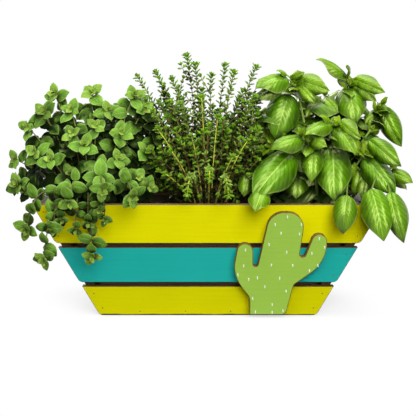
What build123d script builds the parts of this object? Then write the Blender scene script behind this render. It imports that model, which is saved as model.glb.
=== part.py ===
from build123d import *
import math
import os

# Indoor herb planter: painted slats pinned on two leaning ends, a lift-out trough of soil and three herbs.
# Millimetres. X runs along the box, -Y is the front, Z is up, the origin is the middle of the underside.

# Slatted box
top_length = 420.0
depth = 140.0
end_lean = 30.0
bottom_slat_height = 36.0
middle_slat_height = 43.0
top_slat_height = 47.0
slat_gap = 5.0
slat_thickness = 10.0
slat_corner = 8.0
slat_ease = 0.6
end_thickness = 10.0
end_inset = 3.0
base_thickness = 10.0

# Pins
pin_length = 28.0
pin_width = 1.2
pin_clearance = 0.05
pin_setback = 9.0
base_pin_count = 4
base_pin_spacing = 55.0

# Cactus cut-out: corners clockwise from the left of its foot, each with the radius that rounds it
cactus_x = 68.0
cactus_foot = 4.0
cactus_thickness = 12.0
cactus_ease = 0.8
cactus_corners = [
    ((-18.0, 0.0), 0.0), ((-18.0, 21.0), 14.0), ((-39.0, 48.7), 40.0), ((-32.0, 87.0), 9.6),
    ((-14.3, 87.0), 9.6), ((-14.3, 59.3), 3.0), ((-8.8, 59.3), 3.0), ((5.6, 124.5), 20.0),
    ((48.0, 124.5), 18.0), ((40.7, 70.8), 3.5), ((47.4, 70.8), 3.5), ((58.0, 98.3), 9.1),
    ((73.5, 98.3), 9.1), ((73.5, 64.6), 45.0), ((34.2, 36.5), 8.0), ((25.4, 0.0), 6.5),
]

# Lift-out trough and its soil
liner_clearance = 1.5
liner_wall = 2.0
liner_drop = 6.0
liner_corner = 8.0
lip_height = 4.0
lip_width = 1.0
soil_drop = 8.0
soil_clearance = 0.3

# Herbs; leaf shapes are (share of length, share of width) from root to tip
crown_margin = 42.0
root_spread_x = 0.3
root_spread_y = 0.6
upright_bow = 0.3
upright_rise = 0.62
hanging_root = 30.0
hanging_bow = 0.8
hanging_arch = 62.0
hanging_follow = 0.3
stem_pieces = 3
outlook_aside = 0.45
outlook_reach = 80.0
outlook_back = 30.0
outlook_up = 0.55
leaf_arch = 0.12
leaf_fold = 0.22
leaf_headroom = 4.0
leaf_berth = 4.0
oregano_stem = 1.8
oregano_leaf_length = 20.0
oregano_leaf_width = 15.0
oregano_leaf_thickness = 1.0
oregano_leaf_shape = [(0.26, 0.94), (0.7, 0.76)]
oregano_turn = 1.0
oregano_sag = 0.12
thyme_stem = 1.4
thyme_leaf_length = 8.0
thyme_leaf_rise = 0.6
thyme_leaf_taper = 0.45
thyme_pairs = 4
thyme_first_pair = 0.4
thyme_last_pair = 0.96
basil_stem = 4.0
basil_leaf_length = 58.0
basil_leaf_width = 38.0
basil_leaf_thickness = 1.6
basil_leaf_shape = [(0.1, 0.12), (0.36, 0.96), (0.76, 0.7)]
basil_turn = 0.2
basil_sag = 0.35

# Leaf pairs: distance below the sprig's tip, share of the full leaf size, angle from the stem
oregano_pairs = [(4, 0.75, 66), (12, 0.95, 82), (32, 1.0, 94)]
oregano_short_pairs = oregano_pairs[:2]
basil_pairs = [(14, 0.7, 68), (44, 1.0, 90)]

# Sprig tips: along X and Y from the crown, height above the rim
oregano_upright = [
    (0, 10, 132), (-47, 5, 130), (50, 15, 124), (-78, -18, 90), (8, -25, 92), (40, -25, 84),
    (-97, -5, 48), (-44, -58, 54), (38, -48, 54), (-2, -55, 72), (-16, 44, 108), (-70, 36, 98),
    (-88, -46, 22),
]
oregano_inner = [
    (22, -8, 112), (-24, -12, 112), (64, -6, 98), (72, -24, 62), (-66, -44, 62), (-20, -40, 84),
    (56, 34, 88), (20, 44, 96),
]
thyme_upright = [
    (-90, 0, 150), (-66, 20, 155), (-44, -12, 148), (-27, 15, 176), (-16, -8, 165), (4, 8, 152),
    (22, 30, 164), (32, -12, 156), (60, 8, 162), (58, -14, 126), (12, -40, 103), (48, -42, 74),
    (-62, -34, 88), (-54, 34, 118), (-34, -30, 118), (-8, -32, 126), (40, 36, 122), (46, 4, 104),
    (-76, 8, 106), (-44, -50, 62), (30, -54, 56), (-8, 44, 132), (18, 46, 92),
]
basil_upright = [
    (-36, 4, 140), (32, 8, 140), (72, 24, 108), (8, -42, 92), (-26, -50, 76), (46, -40, 58),
    (-10, 44, 100), (40, 46, 70), (82, -28, 40), (-70, -44, 28), (-66, -8, 66), (-52, 30, 84),
    (2, 6, 108), (58, -2, 84), (70, 40, 60), (-30, 50, 66), (14, 34, 118),
]

# Sprigs that hang over the front: tip along X from the crown, reach past the front, height above the rim
oregano_hanging = [
    (-46, 34, -64), (10, 32, -60), (-66, 32, -28), (-14, 36, 6), (58, 28, 10), (24, 36, 20),
]
thyme_hanging = [(-24, 26, 16), (24, 26, 14), (2, 20, 32)]
basil_hanging = [(46, 12, 21), (70, 10, 17), (18, 16, 14), (-82, 16, 19)]

# Basil leaves that face the room: place in the list of tips, share of the stem, tip from there, width
basil_front = [
    (0, 0.97, (-52, -18, 2), 30), (0, 0.97, (40, -22, -5), 27), (0, 0.96, (24, -20, -22), 20),
    (0, 0.92, (-30, -14, -58), 43), (1, 0.97, (-43, -8, 30), 24), (1, 0.97, (40, -28, -10), 24),
    (1, 0.96, (30, -26, -20), 22), (1, 0.94, (6, -32, -44), 39), (2, 0.97, (28, -10, -47), 28),
    (2, 0.96, (-18, -14, -16), 19), (3, 0.97, (-37, -18, -9), 24), (3, 0.97, (22, -28, -29), 30),
    (3, 0.96, (28, -25, -14), 20), (3, 0.7, (5, -11, -60), 43), (4, 0.97, (-44, -15, -10), 27),
    (4, 0.88, (0, -20, -40), 27), (4, 0.84, (-67, -5, -60), 43), (4, 0.5, (-26, -20, -30), 29),
    (5, 0.97, (38, -24, -12), 26), (5, 0.93, (36, -26, -44), 33), (8, 0.92, (28, -20, -14), 21),
    (9, 0.96, (-32, -13, -21), 19),
]
# One leaf near the end of each hanging basil stem: its tip from there, width
basil_drop_share = 0.96
basil_drops = [((13, -25, -57), 37), ((13, -25, -56), 28), ((-6, -8, -45), 29), ((-8, -23, -21), 26)]
front_line = -5.0
low_front_line = -40.0
low_front = 85.0

# Levels and outlines that follow from the sizes above
lean = math.radians(end_lean)
bottom_slat = (0.0, bottom_slat_height)
middle_low = bottom_slat_height + slat_gap
middle_slat = (middle_low, middle_low + middle_slat_height)
top_low = middle_slat[1] + slat_gap
rim = top_low + top_slat_height
top_slat = (top_low, rim)
slats = {"bottom": bottom_slat, "middle": middle_slat, "top": top_slat}
inner_width = depth - 2 * slat_thickness
panel_run = end_thickness / math.cos(lean)
liner_rim = rim - liner_drop
soil_top = liner_rim - soil_drop
up = Vector(0, 0, 1)
toward_room = Vector(0, -0.8, 0.5)


def half_length(z):
    return top_length / 2 - (rim - z) * math.tan(lean)


def inner_half_length(z):
    return half_length(z) - end_inset - panel_run


def pin_hole(x, z, extra):
    width = pin_width + 2 * extra
    shank = Box(width, pin_length + extra, width, align=(Align.CENTER, Align.MIN, Align.CENTER))
    return Pos(x, -depth / 2, z) * shank


def pin_places(name):
    low, high = slats[name]
    places = []
    for z in (low + pin_setback, high - pin_setback):
        middle_of_end = half_length(z) - end_inset - panel_run / 2
        places += [(-middle_of_end, z), (middle_of_end, z)]
    if name == "bottom":
        start = -base_pin_spacing * (base_pin_count - 1) / 2
        places += [(start + i * base_pin_spacing, base_thickness / 2) for i in range(base_pin_count)]
    return places


def all_pins(extra):
    return [pin_hole(x, z, extra) for name in slats for x, z in pin_places(name)]


def slat(name):
    low, high = slats[name]
    corners = [
        (-half_length(low), low), (half_length(low), low),
        (half_length(high), high), (-half_length(high), high),
    ]
    outline = Polygon(*corners, align=None)
    outline = fillet(outline.vertices().group_by(Axis.Y)[0], slat_corner)
    board = extrude(Plane.XZ.offset(depth / 2 - slat_thickness) * outline, slat_thickness)
    board = chamfer(board.faces().sort_by(Axis.Y)[0].edges(), slat_ease)
    return board - [pin_hole(x, z, pin_clearance) for x, z in pin_places(name)]


def board_between_slats(corners, pins):
    outline = Plane.XZ * Polygon(*corners, align=None)
    return extrude(outline, inner_width / 2, both=True) - pins


def right_end(pins):
    outer_low = half_length(0) - end_inset
    outer_high = half_length(rim) - end_inset
    corners = [(outer_low - panel_run, 0), (outer_low, 0), (outer_high, rim), (outer_high - panel_run, rim)]
    return board_between_slats(corners, pins)


def base_board(pins):
    low = inner_half_length(0)
    high = inner_half_length(base_thickness)
    return board_between_slats([(-low, 0), (low, 0), (high, base_thickness), (-high, base_thickness)], pins)


def cactus():
    outline = Polygon(*[corner for corner, radius in cactus_corners], align=None)
    for corner, radius in cactus_corners:
        if radius:
            outline = fillet(outline.vertices().sort_by_distance(Vector(*corner))[0], radius)
    front = Plane.XZ.offset(depth / 2) * Pos(cactus_x, cactus_foot) * outline
    sawn = extrude(front, cactus_thickness, dir=(0, -1, 0))
    return chamfer(sawn.faces().sort_by(Axis.Y)[0].edges(), cactus_ease)


def trough_block(low, high, inside, corner):
    # The inner space of the box, drawn in and rounded along its four leaning edges, between two levels.
    foot, top = (inner_half_length(z) - inside / math.cos(lean) for z in (0, rim))
    outline = Polygon((-foot, 0), (foot, 0), (top, rim), (-top, rim), align=None)
    block = extrude(Plane.XZ * outline, inner_width / 2 - inside, both=True)
    block = fillet([edge for edge in block.edges() if abs((edge @ 1 - edge @ 0).Z) > rim / 2], corner)
    layer = Box(top_length, depth, high - low, align=(Align.CENTER, Align.CENTER, Align.MIN))
    return block & Pos(0, 0, low) * layer


def liner():
    outer = trough_block(base_thickness, liner_rim, liner_clearance, liner_corner)
    lip_low = liner_rim - lip_height
    lip = trough_block(lip_low, liner_rim, liner_clearance - lip_width, liner_corner + lip_width)
    inside = liner_clearance + liner_wall
    return outer + lip - trough_block(base_thickness + liner_wall, rim, inside, liner_corner - liner_wall)


def soil():
    inside = liner_clearance + liner_wall + soil_clearance
    corner = liner_corner - liner_wall - soil_clearance
    return trough_block(base_thickness + liner_wall, soil_top, inside, corner)


def faceted(points, faces):
    return Solid(Shell([Face(Wire.make_polygon([points[i] for i in corners])) for corners in faces]))


def skinned(rings, start=None, end=None, flat=False):
    # Closes four-cornered rings into one solid, with a point or a flat face at each end.
    points = [corner for ring in rings for corner in ring]
    faces = []
    for r in range(len(rings) - 1):
        for i in range(4):
            a, b = 4 * r + i, 4 * r + (i + 1) % 4
            faces += [(a, b, b + 4, a + 4)] if flat else [(a, b, b + 4), (a, b + 4, a + 4)]
    last = 4 * (len(rings) - 1)
    for corners, apex in (((3, 2, 1, 0), start), ((last, last + 1, last + 2, last + 3), end)):
        if apex is None:
            faces.append(corners)
        else:
            points.append(apex)
            faces += [(corners[i], corners[(i + 1) % 4], len(points) - 1) for i in range(4)]
    return faceted(points, faces)


def leaf(length, width, thickness, shape):
    rings = []
    for along, share in shape:
        x = along * length
        half = share * width / 2
        z = leaf_arch * length * 4 * along * (1 - along)
        rings.append([
            Vector(x, -half, z + leaf_fold * half), Vector(x, 0, z - thickness / 2),
            Vector(x, half, z + leaf_fold * half), Vector(x, 0, z + thickness / 2),
        ])
    return skinned(rings, Vector(0, 0, 0), Vector(length, 0, 0))


def clear_of_box(place):
    above = place.Z > rim + leaf_headroom
    ahead = place.Y < -depth / 2 - cactus_thickness - leaf_berth
    behind = place.Y > depth / 2 + leaf_berth
    aside = abs(place.X) > top_length / 2 + leaf_berth
    return above or ahead or behind or aside


def leaf_place(root, along, face):
    return Plane(root, x_dir=along, z_dir=face - along * face.dot(along))


def leaf_clears(place, length, width):
    rise = leaf_arch * length
    middle = [Vector(length / 2, side * width / 2, rise) for side in (-1, 0, 1)]
    spots = [Vector(0, 0, 0), *middle, Vector(length, 0, 0)]
    return all(clear_of_box(place.from_local_coords(spot)) for spot in spots)


class Stem:
    # A square stem on a bowed path that lies in one upright plane.
    def __init__(self, root, bend, tip):
        self.root, self.bend, self.tip = root, bend, tip
        self.side = Vector(tip.X - root.X, tip.Y - root.Y, 0).cross(up).normalized()
        joints = [self.curve(i / stem_pieces) for i in range(stem_pieces + 1)]
        self.length = sum((b - a).length for a, b in zip(joints, joints[1:]))

    def curve(self, t):
        return self.root * (1 - t)**2 + self.bend * (2 * t * (1 - t)) + self.tip * t**2

    def point(self, t):
        # The straight pieces of the stem, so that a leaf starts inside it.
        i = min(int(t * stem_pieces), stem_pieces - 1)
        low, high = self.curve(i / stem_pieces), self.curve((i + 1) / stem_pieces)
        return low + (high - low) * (t * stem_pieces - i)

    def heading(self, t):
        return ((self.bend - self.root) * (1 - t) + (self.tip - self.bend) * t).normalized()

    def across(self, t):
        return (self.heading(t) if t else up).cross(self.side)

    def solid(self, width):
        rings = []
        for i in range(stem_pieces + 1):
            t = i / stem_pieces
            a, b = self.side * (width / 2), self.across(t) * (width / 2)
            middle = self.curve(t)
            rings.append([middle + a - b, middle + a + b, middle - a + b, middle - a - b])
        return skinned(rings, flat=True)

    def outlook(self, crown_x):
        # The way that the sprig faces: away from the crown, to the front or the back, and up.
        aside = max(-1, min(1, (self.tip.X - crown_x) / outlook_reach))
        level = Vector(outlook_aside * aside, 1 if self.tip.Y > outlook_back else -1, 0).normalized()
        return (level + up * outlook_up).normalized()


def leaf_pairs(stem, facing, blades, pairs, turn, sag):
    # Crossed pairs of blades down from the tip, each with its own tip, as far as they clear the box.
    leaves = []
    for k, (below, size, spread) in enumerate(pairs):
        t = 1 - below / stem.length
        heading = (stem.heading(t) + facing * turn).normalized()
        first = heading.cross(Vector(0, 1, 0)).normalized()
        radial = heading.cross(first) if k % 2 else first
        angle = math.radians(spread)
        blade, length, width = blades[k]
        for sign in (1, -1):
            along = heading * math.cos(angle) + radial * (sign * math.sin(angle)) - up * sag
            place = leaf_place(stem.point(t), along.normalized(), heading + facing)
            if leaf_clears(place, length, width):
                leaves.append((blade.moved(place.location), place.from_local_coords(Vector(length, 0, 0))))
    return leaves


def needle_sprig(stem, width, length, pairs):
    # Small leaves drawn out in crossed pairs from the corners of the stem itself.
    step = (thyme_last_pair - thyme_first_pair) / (pairs - 1)
    places = [thyme_first_pair + step * k for k in range(pairs)]

    def ring(t, reach, lengthwise):
        a, b = stem.side * (width / 2), stem.across(t) * (width / 2)
        rise = stem.heading(t) * (reach * thyme_leaf_rise)
        grow = 1 + 2 * reach / width
        middle = stem.point(t)
        if lengthwise:
            return [middle + a * grow + rise, middle + b, middle - a * grow + rise, middle - b]
        return [middle + a, middle + b * grow + rise, middle - a, middle - b * grow + rise]

    rings = [ring(0, 0, True)]
    neck = width / (stem.tip - stem.root).length
    for k, t in enumerate(places):
        reach = length * (1 - thyme_leaf_taper * k / pairs)
        rings += [ring(t - neck, 0, True), ring(t, reach, k % 2 == 0), ring(t + neck, 0, True)]
    return skinned(rings)


def upright_stem(crown_x, tip):
    end = Vector(crown_x + tip[0], tip[1], rim + tip[2])
    root = Vector(crown_x + root_spread_x * tip[0], root_spread_y * tip[1], soil_top)
    bend = root + (end - root) * upright_bow
    bend.Z = soil_top + upright_rise * (end.Z - soil_top)
    return Stem(root, bend, end)


def hanging_stem(crown_x, tip):
    end = Vector(crown_x + tip[0], -depth / 2 - tip[1], rim + tip[2])
    root = Vector(crown_x + root_spread_x * tip[0], -hanging_root, soil_top)
    bend = root + (end - root) * hanging_bow
    bend.Z = rim + hanging_arch + hanging_follow * tip[2]
    return Stem(root, bend, end)


def stems(crown_x, upright, hanging):
    standing = [upright_stem(crown_x, tip) for tip in upright]
    return standing + [hanging_stem(crown_x, tip) for tip in hanging]


def blades_for(pairs, length, width, thickness, shape):
    sizes = [(length * size, width * size) for _, size, _ in pairs]
    return [(leaf(long, wide, thickness, shape), long, wide) for long, wide in sizes]


def oregano():
    blades = blades_for(
        oregano_pairs, oregano_leaf_length, oregano_leaf_width, oregano_leaf_thickness, oregano_leaf_shape)
    long = [(stem, oregano_pairs) for stem in stems(-crown_x, oregano_upright, [])]
    short = [(stem, oregano_short_pairs) for stem in stems(-crown_x, oregano_inner, oregano_hanging)]
    sprigs = []
    for stem, pairs in long + short:
        leaves = leaf_pairs(stem, stem.outlook(-crown_x), blades, pairs, oregano_turn, oregano_sag)
        sprigs.append(stem.solid(oregano_stem).fuse(*[blade for blade, tip in leaves]))
    return sprigs


def behind_front(tip):
    return tip.Y > (front_line if tip.Z > rim + low_front else low_front_line)


def front_leaf(stem, share, reach, width):
    along = Vector(*reach)
    place = leaf_place(stem.point(share), along.normalized(), toward_room)
    blade = leaf(along.length, width, basil_leaf_thickness, basil_leaf_shape)
    return [blade.moved(place.location)] if leaf_clears(place, along.length, width) else []


def basil():
    blades = blades_for(
        basil_pairs, basil_leaf_length, basil_leaf_width, basil_leaf_thickness, basil_leaf_shape)
    sprigs = []
    for i, stem in enumerate(stems(crown_x, basil_upright, [])):
        pairs = leaf_pairs(stem, stem.outlook(crown_x), blades, basil_pairs, basil_turn, basil_sag)
        leaves = [blade for blade, tip in pairs if behind_front(tip)]
        for owner, share, reach, width in basil_front:
            leaves += front_leaf(stem, share, reach, width) if owner == i else []
        sprigs.append(stem.solid(basil_stem).fuse(*leaves))
    for stem, (reach, width) in zip(stems(crown_x, [], basil_hanging), basil_drops):
        sprigs.append(stem.solid(basil_stem).fuse(*front_leaf(stem, basil_drop_share, reach, width)))
    return sprigs


crown_x = inner_half_length(soil_top) - crown_margin
cut_pins = all_pins(pin_clearance)
cut_pins += [mirror(pin, about=Plane.XZ) for pin in cut_pins]
front_pins = all_pins(0.0)
front_slats = {name: slat(name) for name in slats}
right_panel = right_end(cut_pins)

nodes = {f"front_slat_{name}": front_slats[name] for name in slats}
nodes.update({f"back_slat_{name}": mirror(front_slats[name], about=Plane.XZ) for name in slats})
nodes["right_end_panel"] = right_panel
nodes["left_end_panel"] = mirror(right_panel, about=Plane.YZ)
nodes["base_board"] = base_board(cut_pins)
nodes["front_pins"] = Compound(front_pins)
nodes["back_pins"] = Compound([mirror(pin, about=Plane.XZ) for pin in front_pins])
nodes["cactus_cutout"] = cactus()
nodes["liner_trough"] = liner()
nodes["potting_soil"] = soil()
nodes["oregano_sprigs"] = Compound(oregano())
nodes["thyme_sprigs"] = Compound([
    needle_sprig(s, thyme_stem, thyme_leaf_length, thyme_pairs)
    for s in stems(0.0, thyme_upright, thyme_hanging)])
nodes["basil_sprigs"] = Compound(basil())

os.makedirs("parts", exist_ok=True)
for name, shape in nodes.items():
    export_step(shape, f"parts/{name}.step")
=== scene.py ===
import math
import random

import bpy
import numpy as np
from mathutils import Matrix, Vector


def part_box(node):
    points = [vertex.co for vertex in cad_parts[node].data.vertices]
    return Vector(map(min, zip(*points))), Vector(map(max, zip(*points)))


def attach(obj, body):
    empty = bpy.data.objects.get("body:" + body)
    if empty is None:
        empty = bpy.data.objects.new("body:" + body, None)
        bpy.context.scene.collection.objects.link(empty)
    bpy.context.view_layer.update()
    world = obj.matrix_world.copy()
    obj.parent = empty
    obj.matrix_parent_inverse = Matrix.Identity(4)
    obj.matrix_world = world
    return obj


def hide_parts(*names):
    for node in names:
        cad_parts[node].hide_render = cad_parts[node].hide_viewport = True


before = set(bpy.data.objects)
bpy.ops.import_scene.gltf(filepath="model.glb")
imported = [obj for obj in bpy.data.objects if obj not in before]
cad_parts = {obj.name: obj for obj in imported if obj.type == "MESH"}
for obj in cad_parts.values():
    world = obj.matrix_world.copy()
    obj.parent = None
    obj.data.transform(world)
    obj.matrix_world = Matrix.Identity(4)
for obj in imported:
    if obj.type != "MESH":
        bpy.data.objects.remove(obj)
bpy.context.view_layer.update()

scene = bpy.context.scene
scene.view_settings.view_transform = "Standard"
rng = random.Random(11)
upward = Vector((0, 0, 1))


# the camera stands where the photograph was taken
view = {
    "frame": 416, "sensor": 36.0, "lens": 79.8, "place": Vector((0.0, -1.1555, 0.3088)),
    "tiltDown": 9.25,
}

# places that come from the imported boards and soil
boardLow, boardHigh = (Vector(c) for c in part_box("front_slat_top"))
cactusLow, cactusHigh = (Vector(c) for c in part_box("cactus_cutout"))
soilLow, soilHigh = (Vector(c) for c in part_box("potting_soil"))
baseLow, baseHigh = (Vector(c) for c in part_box("base_board"))
rimZ, frontY, soilZ = boardHigh.z, boardLow.y, soilHigh.z
crownX = soilHigh.x - 0.0376  # the outer herbs stand this far in from the soil's ends


def clamp(value, low=0.0, high=1.0):
    return min(high, max(low, value))


def clearAll():
    if bpy.context.object and bpy.context.object.mode != "OBJECT":
        bpy.ops.object.mode_set(mode="OBJECT")
    bpy.ops.object.select_all(action="DESELECT")


def activate(piece):
    clearAll()
    piece.select_set(True)
    bpy.context.view_layer.objects.active = piece


def pick(piece, test):
    bpy.ops.object.mode_set(mode="OBJECT")
    mesh = piece.data
    mesh.polygons.foreach_set("select", [False] * len(mesh.polygons))
    mesh.edges.foreach_set("select", [False] * len(mesh.edges))
    mesh.vertices.foreach_set("select", [bool(test(v.co)) for v in mesh.vertices])
    bpy.ops.object.mode_set(mode="EDIT")


def bakeModifiers(piece):
    activate(piece)
    for modifier in list(piece.modifiers):
        bpy.ops.object.modifier_apply(modifier=modifier.name)


# node helper: inputs may be values or sockets
def nodeOf(tree, kind, inputs=None, **settings):
    made = tree.nodes.new("ShaderNode" + kind)
    for key, value in settings.items():
        setattr(made, key, value)
    for key, value in (inputs or {}).items():
        if isinstance(value, bpy.types.NodeSocket):
            tree.links.new(value, made.inputs[key])
        else:
            made.inputs[key].default_value = value
    return made


def startMaterial(name, **sockets):
    material = bpy.data.materials.new(name)
    material.use_nodes = True
    shader = material.node_tree.nodes["Principled BSDF"]
    for key, value in sockets.items():
        shader.inputs[key.replace("_", " ")].default_value = value
    return material, material.node_tree, shader


def objectCoords(tree):
    return nodeOf(tree, "TexCoord").outputs["Object"]


# the levels between which most of a noise lies, and nearly all of it
noiseSpan, wideSpan = (0.3, 0.7), (0.2, 0.8)


def noiseOf(tree, source, scale, detail=3.0, stretch=(1, 1, 1), rough=0.55):
    mapped = nodeOf(tree, "Mapping", {"Vector": source, "Scale": stretch})
    return nodeOf(tree, "TexNoise", {"Vector": mapped.outputs[0], "Scale": scale, "Detail": detail,
                                     "Roughness": rough}).outputs["Fac"]


def mathOf(tree, operation, first, second=0.0, limit=False):
    return nodeOf(tree, "Math", {0: first, 1: second}, operation=operation, use_clamp=limit).outputs[0]


def timesOf(tree, first, second):
    return mathOf(tree, "MULTIPLY", first, second)


def rangeOf(tree, value, fromLow, fromHigh, toLow=0.0, toHigh=1.0):
    return nodeOf(tree, "MapRange", {"Value": value, "From Min": fromLow, "From Max": fromHigh,
                                     "To Min": toLow, "To Max": toHigh}).outputs[0]


def mixOf(tree, factor, first, second):
    return nodeOf(tree, "Mix", {0: factor, 6: first, 7: second}, data_type="RGBA").outputs[2]


# a noise fades one colour into another between two of its levels
def mottled(tree, noise, first, second, levels=noiseSpan):
    return mixOf(tree, rangeOf(tree, noise, *levels), first, second)


def coatWith(tree, shader, colour, roughness=None):
    tree.links.new(colour, shader.inputs["Base Color"])
    if roughness is not None:
        tree.links.new(roughness, shader.inputs["Roughness"])


def bumpOf(tree, shader, height, strength, distance):
    bump = nodeOf(tree, "Bump", {"Height": height, "Strength": strength, "Distance": distance})
    tree.links.new(bump.outputs[0], shader.inputs["Normal"])


def rgb(r, g, b):
    return (r, g, b, 1.0)


def shade(colour, share):
    return (colour[0] * share, colour[1] * share, colour[2] * share, 1.0)


def shades(colour, shares):
    return [shade(colour, share) for share in shares]


# brushed paint on the outer face, bare brown wood where the saw has cut
brushwork = {
    "streaks": (14, 60, 520), "streakTones": (0.95, 1.02), "mottle": 26.0, "mottleLevels": (0.35, 0.75),
    "mottleTone": 0.86, "mottleShow": 0.35, "speck": 900.0, "pores": 320.0, "poreTones": (0.6, 1.6),
    "edgeFacing": (0.97, 0.8), "edgeRagged": 0.06, "footRagged": 0.3, "footFade": (1.2, 0.7),
    "footTone": 0.3, "roughness": (0.42, 0.6), "speckRise": 0.4, "relief": 0.2, "reliefDepth": 0.0004,
}


def paintedWood(name, paint, bare, footDarkening=0.0):
    material, tree, shader = startMaterial(name, Roughness=0.6, Specular_IOR_Level=0.1, Specular_Tint=paint)
    coords = nodeOf(tree, "TexCoord").outputs
    spot = nodeOf(tree, "SeparateXYZ", {0: coords["Object"]}).outputs
    facing = nodeOf(tree, "SeparateXYZ", {0: coords["Normal"]}).outputs["Y"]
    streak = noiseOf(tree, coords["Object"], 1.0, detail=5.0, stretch=brushwork["streaks"])
    mottle = noiseOf(tree, coords["Object"], brushwork["mottle"])
    speck = noiseOf(tree, coords["Object"], brushwork["speck"], detail=2.0)
    pores = noiseOf(tree, coords["Object"], brushwork["pores"], detail=4.0)
    coat = mottled(tree, streak, *shades(paint, brushwork["streakTones"]))
    dull = rangeOf(tree, mottle, *brushwork["mottleLevels"], 0.0, brushwork["mottleShow"])
    coat = mixOf(tree, dull, coat, shade(paint, brushwork["mottleTone"]))
    outward = timesOf(tree, facing, mathOf(tree, "SIGN", spot["Y"]))  # the inner face stays bare
    ragged = brushwork["edgeRagged"]
    outward = mathOf(tree, "ADD", outward, rangeOf(tree, speck, *noiseSpan, -ragged, ragged))
    wood = mottled(tree, pores, *shades(bare, brushwork["poreTones"]))
    body = mixOf(tree, rangeOf(tree, outward, *brushwork["edgeFacing"]), coat, wood)
    if footDarkening:  # darker line along the foot of the board, where it stands on the floor
        ragged = brushwork["footRagged"] * footDarkening
        height = mathOf(tree, "ADD", spot["Z"], rangeOf(tree, mottle, *noiseSpan, -ragged, ragged))
        high, low = (share * footDarkening for share in brushwork["footFade"])
        body = mixOf(tree, rangeOf(tree, height, high, low), body, shade(bare, brushwork["footTone"]))
    coatWith(tree, shader, body, rangeOf(tree, streak, *wideSpan, *brushwork["roughness"]))
    rise = mathOf(tree, "ADD", streak, timesOf(tree, speck, brushwork["speckRise"]))
    bumpOf(tree, shader, rise, brushwork["relief"], brushwork["reliefDepth"])
    return material


# brown stain, with the grain along the board
stain = {
    "dark": rgb(0.05, 0.026, 0.01), "light": rgb(0.19, 0.11, 0.045), "levels": (0.35, 0.65),
    "clouds": 9.0, "grainShare": 0.75, "grainRough": 0.65, "roughness": (0.5, 0.75), "relief": 0.5,
    "reliefDepth": 0.0008,
}


def stainedWood(name, stretch):
    material, tree, shader = startMaterial(name, Roughness=0.62, Specular_IOR_Level=0.3)
    coords = objectCoords(tree)
    grain = noiseOf(tree, coords, 1.0, detail=7.0, stretch=stretch, rough=stain["grainRough"])
    clouds = noiseOf(tree, coords, stain["clouds"], detail=2.0)
    share = stain["grainShare"]
    tone = mathOf(tree, "ADD", timesOf(tree, grain, share), timesOf(tree, clouds, 1 - share))
    coatWith(tree, shader, mottled(tree, tone, stain["dark"], stain["light"], stain["levels"]),
             rangeOf(tree, grain, *wideSpan, *stain["roughness"]))
    bumpOf(tree, shader, grain, stain["relief"], stain["reliefDepth"])
    return material


plastic = {
    "clouds": 22.0, "tones": (0.8, 1.2), "fine": 1600.0, "roughness": (0.42, 0.6), "relief": 0.25,
    "reliefDepth": 0.0003,
}


def mouldedPlastic(name, colour):
    material, tree, shader = startMaterial(name, Roughness=0.5, Specular_IOR_Level=0.4)
    coords = objectCoords(tree)
    clouds = noiseOf(tree, coords, plastic["clouds"])
    fine = noiseOf(tree, coords, plastic["fine"], detail=2.0)
    coatWith(tree, shader, mottled(tree, clouds, *shades(colour, plastic["tones"])),
             rangeOf(tree, fine, *wideSpan, *plastic["roughness"]))
    bumpOf(tree, shader, fine, plastic["relief"], plastic["reliefDepth"])
    return material


steel = {
    "rust": 800.0, "levels": (0.4, 0.6), "dark": rgb(0.06, 0.05, 0.03), "light": rgb(0.16, 0.12, 0.07),
    "roughness": (0.4, 0.7),
}


def pinSteel(name):
    material, tree, shader = startMaterial(name, Metallic=0.8, Roughness=0.5)
    rust = noiseOf(tree, objectCoords(tree), steel["rust"])
    coatWith(tree, shader, mottled(tree, rust, steel["dark"], steel["light"], steel["levels"]),
             rangeOf(tree, rust, *noiseSpan, *steel["roughness"]))
    return material


# what the blades of all three herbs share
blade = {
    "veinWidth": 0.1, "valleyWidth": 0.2, "blotchShow": 0.4, "shadeFrom": 0.35,
    "glossRange": (-0.06, 0.1), "ribGroove": 0.6,
}


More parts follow.
